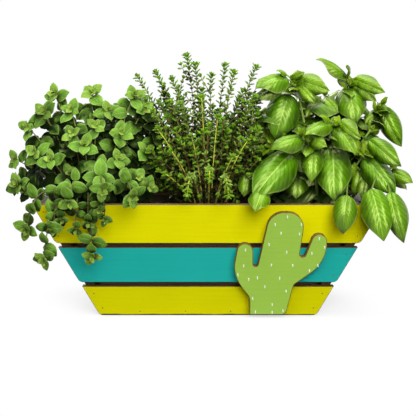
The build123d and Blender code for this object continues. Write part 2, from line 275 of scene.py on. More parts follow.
# veins and tone of a leaf from its own map: U runs from stalk to tip, V across
def leafMaterial(name, look):
    material, tree, shader = startMaterial(name, Roughness=look["gloss"], Specular_IOR_Level=look["shine"],
                                           Specular_Tint=look["sheen"])
    flat = nodeOf(tree, "SeparateXYZ", {0: nodeOf(tree, "UVMap", uv_map="leaf").outputs[0]})
    along, across = flat.outputs["X"], flat.outputs["Y"]
    ageAndShade = nodeOf(tree, "Attribute", attribute_name="ageAndShade")
    age, paintedShade = nodeOf(tree, "SeparateColor", {0: ageAndShade.outputs["Color"]}).outputs[:2]
    side = timesOf(tree, mathOf(tree, "ABSOLUTE", mathOf(tree, "SUBTRACT", across, 0.5)), 2.0)
    rib = rangeOf(tree, side, look["ribWidth"], 0.0)
    sweep = mathOf(tree, "SUBTRACT", along, timesOf(tree, side, look["sweep"]))
    wave = mathOf(tree, "PINGPONG", timesOf(tree, sweep, look["veins"]), 0.5)
    vein = rangeOf(tree, wave, blade["veinWidth"], 0.0)
    blotch = noiseOf(tree, objectCoords(tree), look["blotch"])
    body = mixOf(tree, age, look["old"], look["young"])
    # random blotches darken the blade, and painted shade darkens it along the vein valleys and towards its
    # edges
    for dim in (rangeOf(tree, blotch, *noiseSpan, 0.0, blade["blotchShow"]),
                rangeOf(tree, wave, blade["valleyWidth"], 0.0, 0.0, look["valleyShade"]),
                rangeOf(tree, side, blade["shadeFrom"], 1.0, 0.0, look["edgeShade"])):
        body = mixOf(tree, dim, body, look["shadow"])
    lines = mathOf(tree, "MAXIMUM", rib, timesOf(tree, vein, look["veinShow"]))
    body = mixOf(tree, timesOf(tree, lines, look["ribShow"]), body, look["rib"])
    margin = rangeOf(tree, side, look["margin"], 1.0, 0.0, look["marginShow"])
    body = mixOf(tree, margin, body, look["rib"])
    # painted shade: the leaf goes towards the shadow colour as far as its painted shade channel, scaled by
    # inner
    body = mixOf(tree, timesOf(tree, paintedShade, look["inner"]), body, look["shadow"])
    gloss = [look["gloss"] + shift for shift in blade["glossRange"]]
    coatWith(tree, shader, body, rangeOf(tree, blotch, *wideSpan, *gloss))
    puff = timesOf(tree, wave, look["puff"])
    swell = mathOf(tree, "SUBTRACT", puff, timesOf(tree, rib, blade["ribGroove"]))
    bumpOf(tree, shader, swell, look["relief"], look["reliefDepth"])
    return material


bark = {
    "patches": 60.0, "patchShift": 0.3, "roughness": (0.45, 0.65), "fibres": 900.0,
    "fibreStretch": (1, 1, 0.1), "relief": 0.3, "reliefDepth": 0.0003,
}


# a stem goes from its root colour to its tip colour at a height over the rim; the dark root colour is
# partly the woody base and partly painted shade towards the soil
def stemMaterial(name, low, high, greenFrom):
    material, tree, shader = startMaterial(name, Roughness=0.55, Specular_IOR_Level=0.3)
    coords = objectCoords(tree)
    height = nodeOf(tree, "SeparateXYZ", {0: coords}).outputs["Z"]
    patch = noiseOf(tree, coords, bark["patches"])
    shift = bark["patchShift"]
    rise = rangeOf(tree, height, soilZ, rimZ + greenFrom)
    climb = mathOf(tree, "ADD", rise, rangeOf(tree, patch, *noiseSpan, -shift, shift), limit=True)
    colour = mixOf(tree, climb, low, high)
    coatWith(tree, shader, colour, rangeOf(tree, patch, *noiseSpan, *bark["roughness"]))
    fibres = noiseOf(tree, coords, bark["fibres"], detail=2.0, stretch=bark["fibreStretch"])
    bumpOf(tree, shader, fibres, bark["relief"], bark["reliefDepth"])
    return material


earth = {
    "lumps": 160.0, "fibres": 700.0, "dark": rgb(0.006, 0.004, 0.002), "light": rgb(0.03, 0.019, 0.01),
    "fibre": rgb(0.07, 0.045, 0.024), "fibreLevels": (0.6, 0.75), "fibreRise": 0.5, "relief": 0.8,
    "reliefDepth": 0.002,
}


def soilMaterial(name):
    material, tree, shader = startMaterial(name, Roughness=0.95, Specular_IOR_Level=0.15)
    coords = objectCoords(tree)
    lump = noiseOf(tree, coords, earth["lumps"], detail=5.0)
    fibre = noiseOf(tree, coords, earth["fibres"], detail=4.0)
    ground = mottled(tree, lump, earth["dark"], earth["light"])
    coatWith(tree, shader, mottled(tree, fibre, ground, earth["fibre"], earth["fibreLevels"]))
    rise = mathOf(tree, "ADD", lump, timesOf(tree, fibre, earth["fibreRise"]))
    bumpOf(tree, shader, rise, earth["relief"], earth["reliefDepth"])
    return material


chalk = {"dabs": 500.0, "thin": 0.85, "relief": 0.4, "reliefDepth": 0.0003}


def chalkPaint(name, colour):
    material, tree, shader = startMaterial(name, Roughness=0.7, Specular_IOR_Level=0.3)
    dab = noiseOf(tree, objectCoords(tree), chalk["dabs"])
    coatWith(tree, shader, mottled(tree, dab, shade(colour, chalk["thin"]), colour))
    bumpOf(tree, shader, dab, chalk["relief"], chalk["reliefDepth"])
    return material


paints = {
    "yellow": rgb(0.68, 0.645, 0.001),
    # the bottom boards' yellow is darker as painted shade
    "shadedYellow": rgb(0.56, 0.54, 0.001),
    "teal": rgb(0.014, 0.37, 0.325),
    "cactusGreen": rgb(0.29, 0.485, 0.064),
    "liner": rgb(0.115, 0.072, 0.034),
    "spine": rgb(0.82, 0.84, 0.74),
    "bareWood": rgb(0.17, 0.105, 0.048),
    # bare wood of the middle and bottom boards is darker as painted shade in the slots between the boards
    "shadedBareWood": rgb(0.085, 0.052, 0.024),
    "cactusEdge": rgb(0.16, 0.085, 0.03),
}
footDarkeningHeight = 0.0016  # height of the darker line at the foot of the box
endGrain, baseGrain = (160, 12, 12), (10, 160, 160)
yellowPaint = paintedWood("yellow_paint", paints["yellow"], paints["bareWood"])
shadedYellowPaint = paintedWood("yellow_paint_shaded", paints["shadedYellow"], paints["shadedBareWood"], footDarkeningHeight)
tealPaint = paintedWood("teal_paint", paints["teal"], paints["shadedBareWood"])
cactusPaint = paintedWood("cactus_paint", paints["cactusGreen"], paints["cactusEdge"])
finishes = {
    "front_slat_top": yellowPaint, "front_slat_middle": tealPaint, "front_slat_bottom": shadedYellowPaint,
    "back_slat_top": yellowPaint, "back_slat_middle": tealPaint, "back_slat_bottom": shadedYellowPaint,
    "cactus_cutout": cactusPaint,
    "left_end_panel": stainedWood("end_stain", endGrain),
    "right_end_panel": stainedWood("end_stain_right", endGrain),
    "base_board": stainedWood("base_stain", baseGrain),
    "liner_trough": mouldedPlastic("liner_brown", paints["liner"]),
    "front_pins": pinSteel("pin_steel"), "back_pins": pinSteel("pin_steel_back"),
}
for node, material in finishes.items():
    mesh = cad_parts[node].data
    mesh.materials.clear()
    mesh.materials.append(material)
print("finishes on the boards:", len(finishes))


# many copies of small masters gathered into one mesh
class Heap:
    bladeShare = 0.7  # of the rectangle round a leaf
    brightTip = 0.75  # share of the canopy's shade that young tips are spared
    smoothAngle = math.radians(60)

    def __init__(self):
        self.points = []
        self.faces = []
        self.maps = []
        self.tints = []
        self.areas = []
        self.count = 0

    # a leaf's age and its painted shade, carried in a colour attribute
    def add(self, master, matrix, ageAndShade=(0.5, 0.0)):
        points = master["points"] @ np.array(matrix.to_3x3()).T + np.array(matrix.translation)
        self.points.append(points)
        self.faces += [[i + self.count for i in face] for face in master["faces"]]
        self.maps.append(master["map"])
        self.tints.append(np.tile((ageAndShade[0], ageAndShade[1], 0.0, 1.0), (len(points), 1)))
        area = matrix.col[0].to_3d().length * matrix.col[1].to_3d().length * self.bladeShare
        self.areas.append(np.full(len(points), area / len(points)))
        self.count += len(points)

    def build(self, name, material, canopy=None):
        points = np.concatenate(self.points)
        tints = np.concatenate(self.tints)
        # the light kept out by the leaves in the way is painted into the leaves as shade
        if canopy:
            dark = canopy.darkness(points) * (1 - self.brightTip * tints[:, 0] ** 4)
            tints[:, 1] = np.clip(tints[:, 1] + dark, 0, 1)
        mesh = bpy.data.meshes.new(name)
        mesh.from_pydata(points.tolist(), [], self.faces)
        mesh.uv_layers.new(name="leaf").data.foreach_set("uv", np.concatenate(self.maps).ravel())
        ageAndShade = mesh.color_attributes.new("ageAndShade", "FLOAT_COLOR", "POINT")
        ageAndShade.data.foreach_set("color", tints.ravel())
        mesh.materials.append(material)
        piece = bpy.data.objects.new(name, mesh)
        scene.collection.objects.link(piece)
        activate(piece)
        bpy.ops.object.shade_smooth_by_angle(angle=self.smoothAngle)
        return piece


# how much of the daylight the leaves in the way keep from a place inside the plants
class Canopy:
    cell, reach, dim = 0.008, 9, 3.0
    lit, black = 0.2, 0.85  # a leaf keeps its colour up to the first, and is darkest from the second
    ways = ((0.25, -0.75, 0.62), (0.0, -0.98, 0.2), (0.0, -0.2, 0.98))
    backShare = 0.8  # daylight from behind
    rimShade, rimFrom, rimOver, rimBehind = 0.7, 0.03, 0.045, 0.03  # the box shades what is behind it

    def __init__(self, heaps):
        points = np.concatenate([block for heap in heaps for block in heap.points])
        areas = np.concatenate([block for heap in heaps for block in heap.areas])
        cells = np.floor(points / self.cell).astype(int)
        self.low = cells.min(axis=0) - 1
        self.size = cells.max(axis=0) - self.low + 2
        self.density = np.zeros(self.size)
        np.add.at(self.density, tuple((cells - self.low).T), areas / self.cell ** 2)

    def lightFrom(self, points, front):
        light = np.zeros(len(points))
        for way in self.ways:
            aim = np.array(way) * (1, front, 1)
            leaves = np.zeros(len(points))
            for step in range(1, self.reach + 1):
                at = np.floor(points / self.cell + aim * step).astype(int) - self.low
                within = ((at >= 0) & (at < self.size)).all(axis=1)
                at = np.clip(at, 0, self.size - 1)
                leaves += np.where(within, self.density[tuple(at.T)], 0.0)
            light += np.exp(-self.dim * leaves)
        return light / len(self.ways)

    def darkness(self, points):
        light = np.maximum(self.lightFrom(points, 1), self.backShare * self.lightFrom(points, -1))
        low = np.clip((rimZ + self.rimFrom - points[:, 2]) / self.rimOver, 0, 1)
        behind = np.clip((points[:, 1] - frontY) / self.rimBehind, 0, 1)
        dark = 1 - light * (1 - self.rimShade * (low * behind))
        return np.clip((dark - self.lit) / (self.black - self.lit), 0, 1)


def readMaster(piece):
    mesh = piece.data
    master = {"points": np.array([tuple(v.co) for v in mesh.vertices]),
              "faces": [list(p.vertices) for p in mesh.polygons],
              "map": np.array([tuple(d.uv) for d in mesh.uv_layers[0].data])}
    bpy.data.objects.remove(piece)
    return master


# one leaf of unit length from stalk to tip along X, rows shaped one by one
def leafMaster(form):
    clearAll()
    rows = form["rows"]
    bpy.ops.mesh.primitive_grid_add(x_subdivisions=rows, y_subdivisions=form["columns"], size=1.0,
                                    location=(0.5, 0, 0))
    leaf = bpy.context.object
    bpy.ops.object.transform_apply(location=True)
    for row in range(rows + 1):
        t = row / rows
        pick(leaf, lambda co: abs(co.x - t) < 0.2 / rows)
        drawn = form["drawn"] * (0.5 - 0.5 * math.cos(math.pi * t) - t)
        bpy.ops.transform.resize(value=(1, form["width"](t + drawn), 1), center_override=(t, 0, 0))
        bpy.ops.transform.translate(value=(drawn, 0, form["arch"] * 4 * t * (1 - t)))
    bpy.ops.object.mode_set(mode="OBJECT")
    for v in leaf.data.vertices:
        t = v.co.x
        half = abs(v.co.y)
        side = min(1.0, half / max(0.5 * form["width"](t), 0.001))
        swell = abs(math.sin(math.pi * form["veins"] * (t - form["sweep"] * side))) * side * (1 - side) * 4
        v.co.z += form["fold"] * half - form["cup"] * half * half + form["quilt"] * swell
        wave = math.sin(t * form["waves"] + (2 if v.co.y > 0 else 0))  # the two edges wave out of step
        v.co.z += form["ruffle"] * half * wave
        v.co.y += form["curl"] * t * t
    if form["smooth"]:
        rounding = leaf.modifiers.new("round", "SUBSURF")
        rounding.levels = form["smooth"]
        rounding.render_levels = form["smooth"]
    skin = leaf.modifiers.new("skin", "SOLIDIFY")
    skin.thickness = form["thick"]
    skin.offset = -1
    bakeModifiers(leaf)
    return readMaster(leaf)


def leafMatrix(base, along, face, length, width):
    along = along.normalized()
    face = (face - along * face.dot(along)).normalized()
    turn = Matrix((along * length, face.cross(along) * width, face * length)).transposed().to_4x4()
    turn.translation = base
    return turn


# stems as in the solids: a root on the soil, one bow, a tip
growth = {
    "spreadX": 0.3, "spreadY": 0.6, "uprightBow": 0.3, "uprightRise": 0.62,
    "hangingRoot": 0.03, "hangingBow": 0.8, "hangingArch": 0.062, "hangingFollow": 0.3,
    "planted": 0.002, "outlook": 0.45, "backFrom": 0.03,
    "asideOver": 0.08, "shareStep": 0.02, "endSpread": 0.3, "merge": 0.00001, "lengthSteps": 16,
}


def outlookOf(stem, middle, uplook):
    end = stem[2]
    aside = growth["outlook"] * clamp((end.x - middle) / growth["asideOver"], -1, 1)
    out = Vector((aside, 1 if end.y > growth["backFrom"] else -1, 0))
    return (out.normalized() + upward * uplook).normalized()


def uprightStem(middle, tip):
    end = Vector((middle + tip[0] / 1000, tip[1] / 1000, rimZ + tip[2] / 1000))
    root = Vector((middle + growth["spreadX"] * tip[0] / 1000, growth["spreadY"] * tip[1] / 1000, soilZ))
    bend = root.lerp(end, growth["uprightBow"])
    bend.z = soilZ + growth["uprightRise"] * (end.z - soilZ)
    return root, bend, end


def hangingStem(middle, tip):
    end = Vector((middle + tip[0] / 1000, frontY - tip[1] / 1000, rimZ + tip[2] / 1000))
    root = Vector((middle + growth["spreadX"] * tip[0] / 1000, -growth["hangingRoot"], soilZ))
    bend = root.lerp(end, growth["hangingBow"])
    bend.z = rimZ + growth["hangingArch"] + growth["hangingFollow"] * tip[2] / 1000
    return root, bend, end


def stemPoint(stem, t):
    root, bend, end = stem
    return root * (1 - t) ** 2 + bend * (2 * t * (1 - t)) + end * t * t


def stemHeading(stem, t):
    root, bend, end = stem
    return ((bend - root) * (1 - t) + (end - bend) * t).normalized()


def stemLength(stem):
    steps = growth["lengthSteps"]
    places = [stemPoint(stem, k / steps) for k in range(steps + 1)]
    return sum((b - a).length for a, b in zip(places, places[1:]))


def shareFromTip(stem, distance):
    step = growth["shareStep"]
    t = 1.0
    gone = 0.0
    while t > step and gone < distance:
        gone += (stemPoint(stem, t) - stemPoint(stem, t - step)).length
        t -= step
    return max(t, 0.0)


def radialOf(heading, angle):
    reference = Vector((0, 1, 0)) if abs(heading.y) < 0.9 else Vector((1, 0, 0))
    first = heading.cross(reference).normalized()
    return first * math.cos(angle) + heading.cross(first) * math.sin(angle)


def stemTubes(name, runs, material, sides, steps):
    clearAll()
    curve = bpy.data.curves.new(name, "CURVE")
    curve.dimensions = "3D"
    curve.bevel_depth = 1.0
    curve.bevel_resolution = sides
    curve.resolution_u = steps
    curve.use_fill_caps = True
    spread = growth["endSpread"]
    for (root, bend, end), thick, thin in runs:
        spline = curve.splines.new("BEZIER")
        spline.bezier_points.add(1)
        first, last = spline.bezier_points
        first.co = root
        first.handle_left = root - (bend - root) * spread
        first.handle_right = root.lerp(bend, 2 / 3)
        first.radius = thick
        last.co = end
        last.handle_left = end.lerp(bend, 2 / 3)
        last.handle_right = end + (end - bend) * spread
        last.radius = thin
    piece = bpy.data.objects.new(name, curve)
    scene.collection.objects.link(piece)
    activate(piece)
    bpy.ops.object.convert(target="MESH")
    piece = bpy.context.object
    piece.data.materials.clear()
    piece.data.materials.append(material)
    bpy.ops.object.mode_set(mode="EDIT")
    bpy.ops.mesh.select_all(action="SELECT")
    bpy.ops.mesh.remove_doubles(threshold=growth["merge"])
    bpy.ops.object.mode_set(mode="OBJECT")
    bpy.ops.object.shade_smooth()
    return piece


# room kept between the herbs and the box
room = {"liner": 0.003, "soil": 0.002, "cactus": 0.01, "leaf": 0.004, "stem": 0.005, "stemTries": 20}
# places on a leaf that are tried, as shares of its length and width
leafSpots = ((0, 0), (0.3, 0), (0.3, 0.45), (0.3, -0.45), (0.65, 0.4), (0.65, -0.4), (0.65, 0), (1, 0))


def clearOfBox(place, gap):
    above = place.z > rimZ + gap
    nearCactus = cactusLow.x - room["cactus"] < place.x < cactusHigh.x + room["cactus"]
    ahead = place.y < (cactusLow.y if nearCactus else frontY) - gap
    behind = place.y > -frontY + gap
    aside = abs(place.x) > boardHigh.x + gap
    within = abs(place.x) < soilHigh.x - room["liner"] and abs(place.y) < soilHigh.y - room["liner"]
    return above or ahead or behind or aside or (within and place.z > soilZ - room["soil"])


def leafClears(matrix, arch, gap=room["leaf"]):
    along, across, face = (matrix.col[axis].to_3d() for axis in range(3))
    places = [matrix.translation + along * s + face * (arch * 4 * s * (1 - s)) + across * w
              for s, w in leafSpots]
    return all(clearOfBox(place, gap) for place in places)


def stemClears(stem):
    tries = room["stemTries"]
    return all(clearOfBox(stemPoint(stem, k / tries), room["stem"]) for k in range(1, tries + 1))


def jitter(amount):
    return rng.uniform(-amount, amount)


# companions fill the plant between the main sprigs
crowd = {"rootShift": 0.5, "rootInset": 0.012, "bendFollow": 0.6, "bendAt": 0.9}


def companions(stems, count, shift, shorten, back, reach=(-1, 1)):
    out = []
    near, inset = shift * crowd["rootShift"], crowd["rootInset"]
    for root, bend, end in stems:
        for copy in range(count):
            move = Vector((jitter(shift), jitter(shift) - math.copysign(back, end.y), 0))
            low = rng.uniform(*shorten)
            tip = root.lerp(end, low) + move
            tip.x = clamp(tip.x, *reach)
            start = root + Vector((jitter(near), jitter(near), 0))
            start.x = clamp(start.x, soilLow.x + inset, soilHigh.x - inset)
            start.y = clamp(start.y, soilLow.y + inset, soilHigh.y - inset)
            bow = root.lerp(bend, low) + move * crowd["bendFollow"]
            stem = (start, start.lerp(bow, crowd["bendAt"]), tip)
            if stemClears(stem):
                out.append(stem)
    return out


# side shoots part way up a stem
shoot = {
    "along": (0.25, 0.85), "turn": 6.28, "lean": 0.75, "bow": 0.5, "reach": 0.9, "rise": 0.25,
    "overRim": 0.008,
}


def sideShoots(stems, count, reach):
    out = []
    for stem in stems:
        for copy in range(count):
            t = rng.uniform(*shoot["along"])
            start, heading = stemPoint(stem, t), stemHeading(stem, t)
            length = rng.uniform(*reach)
            radial = radialOf(heading, rng.uniform(0, shoot["turn"]))
            aim = (heading * shoot["lean"] + radial * shoot["lean"]).normalized()
            bow = start + aim * length * shoot["bow"]
            end = start + aim * length * shoot["reach"] + upward * length * shoot["rise"]
            if start.z > rimZ + shoot["overRim"] and end.z < stem[2].z and stemClears((start, bow, end)):
                out.append((start, bow, end))
    return out


# how far the leaves of one plan differ from each other, and the shape of a stalk
dressing = {
    "twist": 0.3, "spread": 10, "tilt": 0.2, "long": (0.85, 1.12), "wide": (0.92, 1.08), "age": 0.15,
    "shade": 0.1, "shadeFrom": 0.012, "shadeOver": 0.04, "sagAfter": 3, "stalkBow": 0.6,
    "stalkSet": 0.001, "stalkTaper": 0.8,
}


# crossed pairs, from the small ones at the tip down the stem
def dressStem(heap, masters, stem, middle, plan, accept=None):
    length = stemLength(stem)
    outlook = outlookOf(stem, middle, plan["uplook"])
    turn = rng.uniform(0, math.pi)
    tilt = dressing["tilt"]
    for k, (below, size, spread) in enumerate(plan["pairs"]):
        if below > length * plan["dressed"]:
            break
        t = shareFromTip(stem, below)
        base, heading = stemPoint(stem, t), stemHeading(stem, t)
        heading = (heading + outlook * plan["turned"]).normalized()
        droop = upward * plan["sag"] * min(1, k / dressing["sagAfter"])
        master = masters[min(k // plan["perMaster"], len(masters) - 1)]
        for sign in (0, math.pi):
            radial = radialOf(heading, turn + k * math.pi / 2 + sign + jitter(dressing["twist"]))
            angle = math.radians(spread + jitter(dressing["spread"]))
            along = heading * math.cos(angle) + radial * math.sin(angle) - droop
            face = heading + outlook * plan["facing"]
            face += Vector((jitter(tilt), jitter(tilt), jitter(tilt)))
            long = size * plan["scale"] * rng.uniform(*dressing["long"])
            stalk = base + along.normalized() * long * plan["stalk"]
            wide = long * plan["width"] * rng.uniform(*dressing["wide"])
            matrix = leafMatrix(stalk, along, face, long, wide)
            if accept and not accept(stalk + along.normalized() * long):
                continue
            if leafClears(matrix, plan["arch"], plan["room"]):
                young = clamp(1 - below / plan["greening"] + jitter(dressing["age"]))
                # painted shade: more for leaves further down the stem
                low = clamp((below - dressing["shadeFrom"]) / dressing["shadeOver"])
                paintedShade = plan["paintedShade"] + plan["lowShade"] * low
                heap.add(master, matrix, (young, paintedShade + jitter(dressing["shade"])))
                if plan["stalk"] and k > 1:
                    bow = base.lerp(stalk, dressing["stalkBow"])
                    end = stalk + along.normalized() * dressing["stalkSet"]
                    thick = plan["stalkThick"]
                    plan["stalks"].append(((base, bow, end), thick, thick * dressing["stalkTaper"]))


def settle(piece):
    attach(piece, "trough")
    piece.data.calc_loop_triangles()
    print(piece.name, len(piece.data.loop_triangles), "triangles")


def planted(stem):
    root, bend, end = stem
    return root - upward * growth["planted"], bend, end


# oregano: round matt leaves with pale edges, yellow-green tips; tips in mm from the crown and the rim
oregano = {
    "upright": [
        (0, 10, 132), (-47, 5, 130), (50, 15, 124), (-78, -18, 90), (8, -25, 92), (40, -25, 84),
        (-97, -5, 48), (-44, -58, 54), (38, -48, 54), (-2, -55, 72), (-16, 44, 108), (-70, 36, 98),
        (-88, -46, 22)],
    "hanging": [(-46, 34, -64), (10, 32, -60), (-66, 32, -28), (-14, 36, 6), (58, 28, 10), (24, 36, 20)],
    "between": [
        (22, -8, 112), (-24, -12, 112), (-60, -10, 110), (64, -6, 98), (72, -24, 62), (62, -46, 30),
        (-66, -44, 62), (16, -50, 44), (-20, -40, 84), (56, 34, 88), (20, 44, 96), (-46, 42, 76),
        (84, 4, 44), (78, 24, 66), (76, -44, 18), (82, -10, 74), (56, -14, 130), (68, -12, 112),
        (-92, 20, 24), (-96, -6, 22), (-84, 44, 30)],
    "cluster": [(-10, 25, -29), (-25, 24, -17), (5, 25, -21), (25, 24, -17), (18, 26, -4), (-36, 26, -30)],
    "plan": {
        "pairs": [
            (0.0, 0.0065, 28), (0.0008, 0.010, 52), (0.002, 0.0165, 74), (0.0055, 0.0205, 82),
            (0.023, 0.0225, 88), (0.041, 0.022, 94), (0.059, 0.0205, 100), (0.077, 0.019, 104),
            (0.095, 0.017, 104)],
        "dressed": 0.9, "turned": 2.2, "uplook": 0.25, "facing": 0.4, "sag": 0.05, "stalk": 0.0,
        "width": 0.76, "scale": 0.95, "perMaster": 2, "arch": 0.1, "greening": 0.0028, "paintedShade": 0.0,
        "lowShade": 0.6, "room": 0.004},
    "trailing": {"scale": 0.84, "turned": 1.6, "sag": 0.08, "lowShade": 0.2},
    "tiny": {"scale": 0.6, "turned": 1.4, "sag": 0.08, "lowShade": 0.2},
    # hidden leaves carry extra painted shade
    "hidden": {"scale": 0.92, "turned": 1.2, "uplook": 0.4, "paintedShade": 0.35, "lowShade": 0.4},
    "companions": {"count": 2, "shift": 0.024, "shorten": (0.4, 0.8), "back": 0.02},
    "shoots": {"count": 1, "reach": (0.015, 0.03)},
    "look": {
        "young": rgb(0.45, 0.67, 0.08), "old": rgb(0.205, 0.45, 0.033),
        "shadow": rgb(0.002, 0.008, 0.0003), "rib": rgb(0.46, 0.64, 0.22), "sheen": rgb(0.8, 1.0, 0.5),
        "gloss": 0.5, "shine": 0.12, "inner": 0.98, "edgeShade": 0.0, "ribWidth": 0.08, "ribShow": 0.66,
        "veins": 5.0, "sweep": 0.25, "veinShow": 0.6, "valleyShade": 0.32, "margin": 0.68, "marginShow": 0.5,
        "blotch": 90.0, "puff": 0.5, "relief": 0.5, "reliefDepth": 0.0015},
    "form": {
        "rows": 6, "columns": 4, "cup": 0.8, "quilt": 0.0, "veins": 5, "sweep": 0.25, "ruffle": 0.0,
        "waves": 15, "curl": 0.0, "smooth": 0, "thick": 0.022, "drawn": 0.6},
    "plain": {"rows": 4, "columns": 2},
    "outline": {"foot": 0.04, "footWidth": 0.1, "least": 0.06, "widest": 0.78, "full": 0.46, "point": 0.34},
    "bends": ((0.0, 0.45), (0.07, 0.34), (0.1, 0.3), (0.12, 0.24)),  # arch and fold, from the tip down
    "stem": 0.0011, "tip": 0.0006, "nearSoil": 0.001,
    "stalk": {"low": rgb(0.09, 0.055, 0.022), "high": rgb(0.26, 0.3, 0.07), "greenFrom": 0.1},
}


def roundLeaf(t):
    outline = oregano["outline"]
    if t < outline["foot"]:
        return outline["footWidth"]
    full = outline["full"] + outline["point"] * t * t
    return max(outline["least"], math.sin(math.pi * t ** outline["widest"]) ** full)


def sowOregano():
    form = dict(oregano["form"], width=roundLeaf)
    masters = [leafMaster(dict(form, arch=a, fold=f)) for a, f in oregano["bends"]]
    plain = [leafMaster(dict(form, arch=a, fold=f, **oregano["plain"])) for a, f in oregano["bends"]]
    main = [uprightStem(-crownX, tip) for tip in oregano["upright"] + oregano["between"]]
    hanging = [hangingStem(-crownX, tip) for tip in oregano["hanging"]]
    cluster = [hangingStem(-crownX, tip) for tip in oregano["cluster"]]
    more = companions(main, **oregano["companions"]) + sideShoots(main, **oregano["shoots"])
    front, inner = Heap(), Heap()
    groups = [(front, masters, main, {}), (front, masters, hanging, oregano["trailing"]),
              (front, masters, cluster, oregano["tiny"]), (inner, plain, more, oregano["hidden"])]
    for heap, shapes, stems, change in groups:
        for stem in stems:
            dressStem(heap, shapes, stem, -crownX, dict(oregano["plan"], **change))
    runs = []
    for stem in main + hanging + cluster + more:
        rooted = stem[0].z < soilZ + oregano["nearSoil"]
        runs.append((planted(stem) if rooted else stem, oregano["stem"], oregano["tip"]))
    stalk = stemMaterial("oregano_stem", **oregano["stalk"])
    return {"node": "oregano_sprigs", "slot": "oregano_green", "sides": 1, "steps": 8,
            "heaps": {"oregano_leaves": front, "oregano_filling": inner},
            "leaf": leafMaterial("oregano_leaf", oregano["look"]),
            "tubes": [("oregano_stems", runs, stalk)]}


# thyme: wiry stems set with tiny narrow leaves in tufts
thyme = {
    "upright": [
        (-90, 26, 150), (-66, 24, 155), (-44, -12, 148), (-27, 15, 176), (-16, -8, 165), (4, 8, 152),
        (22, 30, 164), (32, -12, 156), (60, 8, 162), (58, -14, 126), (12, -40, 103), (48, -42, 74),
        (-62, -34, 88), (-54, 34, 118), (-34, -30, 118), (-8, -32, 126), (40, 36, 122), (46, 4, 104),
        (-76, 24, 106), (-44, -50, 62), (30, -54, 56), (-8, 44, 132), (18, 46, 92)],
    "hanging": [(-24, 26, 16), (24, 26, 14), (2, 20, 32)],
    "between": [
        (-76, -22, 48), (-64, 8, 56), (-84, 26, 84), (58, -14, 46), (62, 12, 84), (58, 28, 66),
        (-72, 30, 74), (64, 8, 120), (-30, 46, 66), (0, 48, 84), (30, 46, 70), (-52, -44, 34),
        (52, -48, 32), (-20, -46, 80), (24, -30, 84), (-66, 0, 30), (-72, 14, 24), (-60, 30, 36),
        (-84, -4, 32), (54, 10, 60), (58, 24, 52), (60, 0, 44), (62, 20, 70), (-86, 20, 60),
        (60, 34, 36), (-38, 20, 100), (-50, 36, 96), (-30, 42, 106), (-18, 30, 94), (6, 40, 110),
        (32, 22, 100), (14, 26, 106), (-60, 40, 84), (46, 40, 92), (-56, 10, 78), (-48, 0, 66),
        (-64, 22, 92), (52, 20, 128), (64, 24, 108), (44, 12, 132), (56, 30, 116), (-62, 10, 118),
        (-56, 28, 126), (-70, 4, 104), (-78, 14, 122)],
    "companions": {
        "count": 3, "shift": 0.032, "shorten": (0.45, 0.9), "back": 0.008, "reach": (-0.085, 0.062)},
    "shoots": {"count": 2, "reach": (0.02, 0.045)},
    "innerShoots": {"count": 1, "reach": (0.02, 0.045)},
    "frontLine": -0.03, "leafLine": -0.042, "frontThick": 1.25, "frontTurn": -0.1, "gap": 0.0052,
    "axil": 0.8, "innerGap": 0.0098, "innerAxil": 0.55, "innerScale": 1.2, "bare": 0.1, "crowding": 1.4,
    "uplook": 0.55, "lowShade": 0.5, "age": 0.3, "shade": 0.12, "corners": 6, "flat": 0.22,
    "narrow": 0.7, "narrowTo": 0.3, "long": 0.0069, "width": 0.46, "wide": (0.85, 1.15),
    "pair": {
        "grow": (0.98, 0.14), "twist": 0.35, "out": 0.8, "up": (0.35, 0.8), "face": 0.5,
        "long": (0.85, 1.1)},
    "axilPair": {"aside": 0.75, "up": (0.2, 0.8), "off": 0.001, "roll": 0.5, "long": (0.5, 0.75)},
    "tuft": {
        "count": 10, "turn": 2.4, "twist": 0.3, "out": (0.25, 0.9), "down": 0.001, "face": 0.3,
        "long": (0.6, 0.95)},
    "look": {
        "young": rgb(0.2, 0.44, 0.013), "old": rgb(0.52, 0.74, 0.155),
        "shadow": rgb(0.002, 0.005, 0.0003), "rib": rgb(0.36, 0.46, 0.1), "sheen": rgb(0.75, 1.0, 0.4),
        "gloss": 0.42, "shine": 0.2, "inner": 0.96, "edgeShade": 0.0, "ribWidth": 0.12, "ribShow": 0.3,
        "veins": 2.0, "sweep": 0.16, "veinShow": 0.0, "valleyShade": 0.0, "margin": 0.9, "marginShow": 0.2,
        "blotch": 160.0, "puff": 0.1, "relief": 0.3, "reliefDepth": 0.0006},
    "stem": 0.00085, "tip": 0.0005, "shootTaper": 0.8,
    "stalk": {"low": rgb(0.034, 0.016, 0.008), "high": rgb(0.24, 0.16, 0.045), "greenFrom": 0.12},
    "frontStalk": {"low": rgb(0.32, 0.24, 0.06), "high": rgb(0.68, 0.66, 0.06), "greenFrom": 0.04},
}


def thymeLeaf():
    clearAll()
    bpy.ops.mesh.primitive_uv_sphere_add(segments=thyme["corners"], ring_count=2, radius=0.5,
                                         location=(0.5, 0, 0))
    leaf = bpy.context.object
    bpy.ops.object.transform_apply(location=True)
    pick(leaf, lambda co: True)
    bpy.ops.transform.resize(value=(1, 1, thyme["flat"]), center_override=(0.5, 0, 0))
    pick(leaf, lambda co: co.x < thyme["narrowTo"])
    bpy.ops.transform.resize(value=(1, thyme["narrow"], 1), center_override=(0.5, 0, 0))
    bpy.ops.object.mode_set(mode="OBJECT")
    master = readMaster(leaf)
    flat = master["points"][[i for face in master["faces"] for i in face]]
    master["map"] = np.stack([np.clip(flat[:, 0], 0, 1), 0.5 + flat[:, 1]], axis=1)
    return master


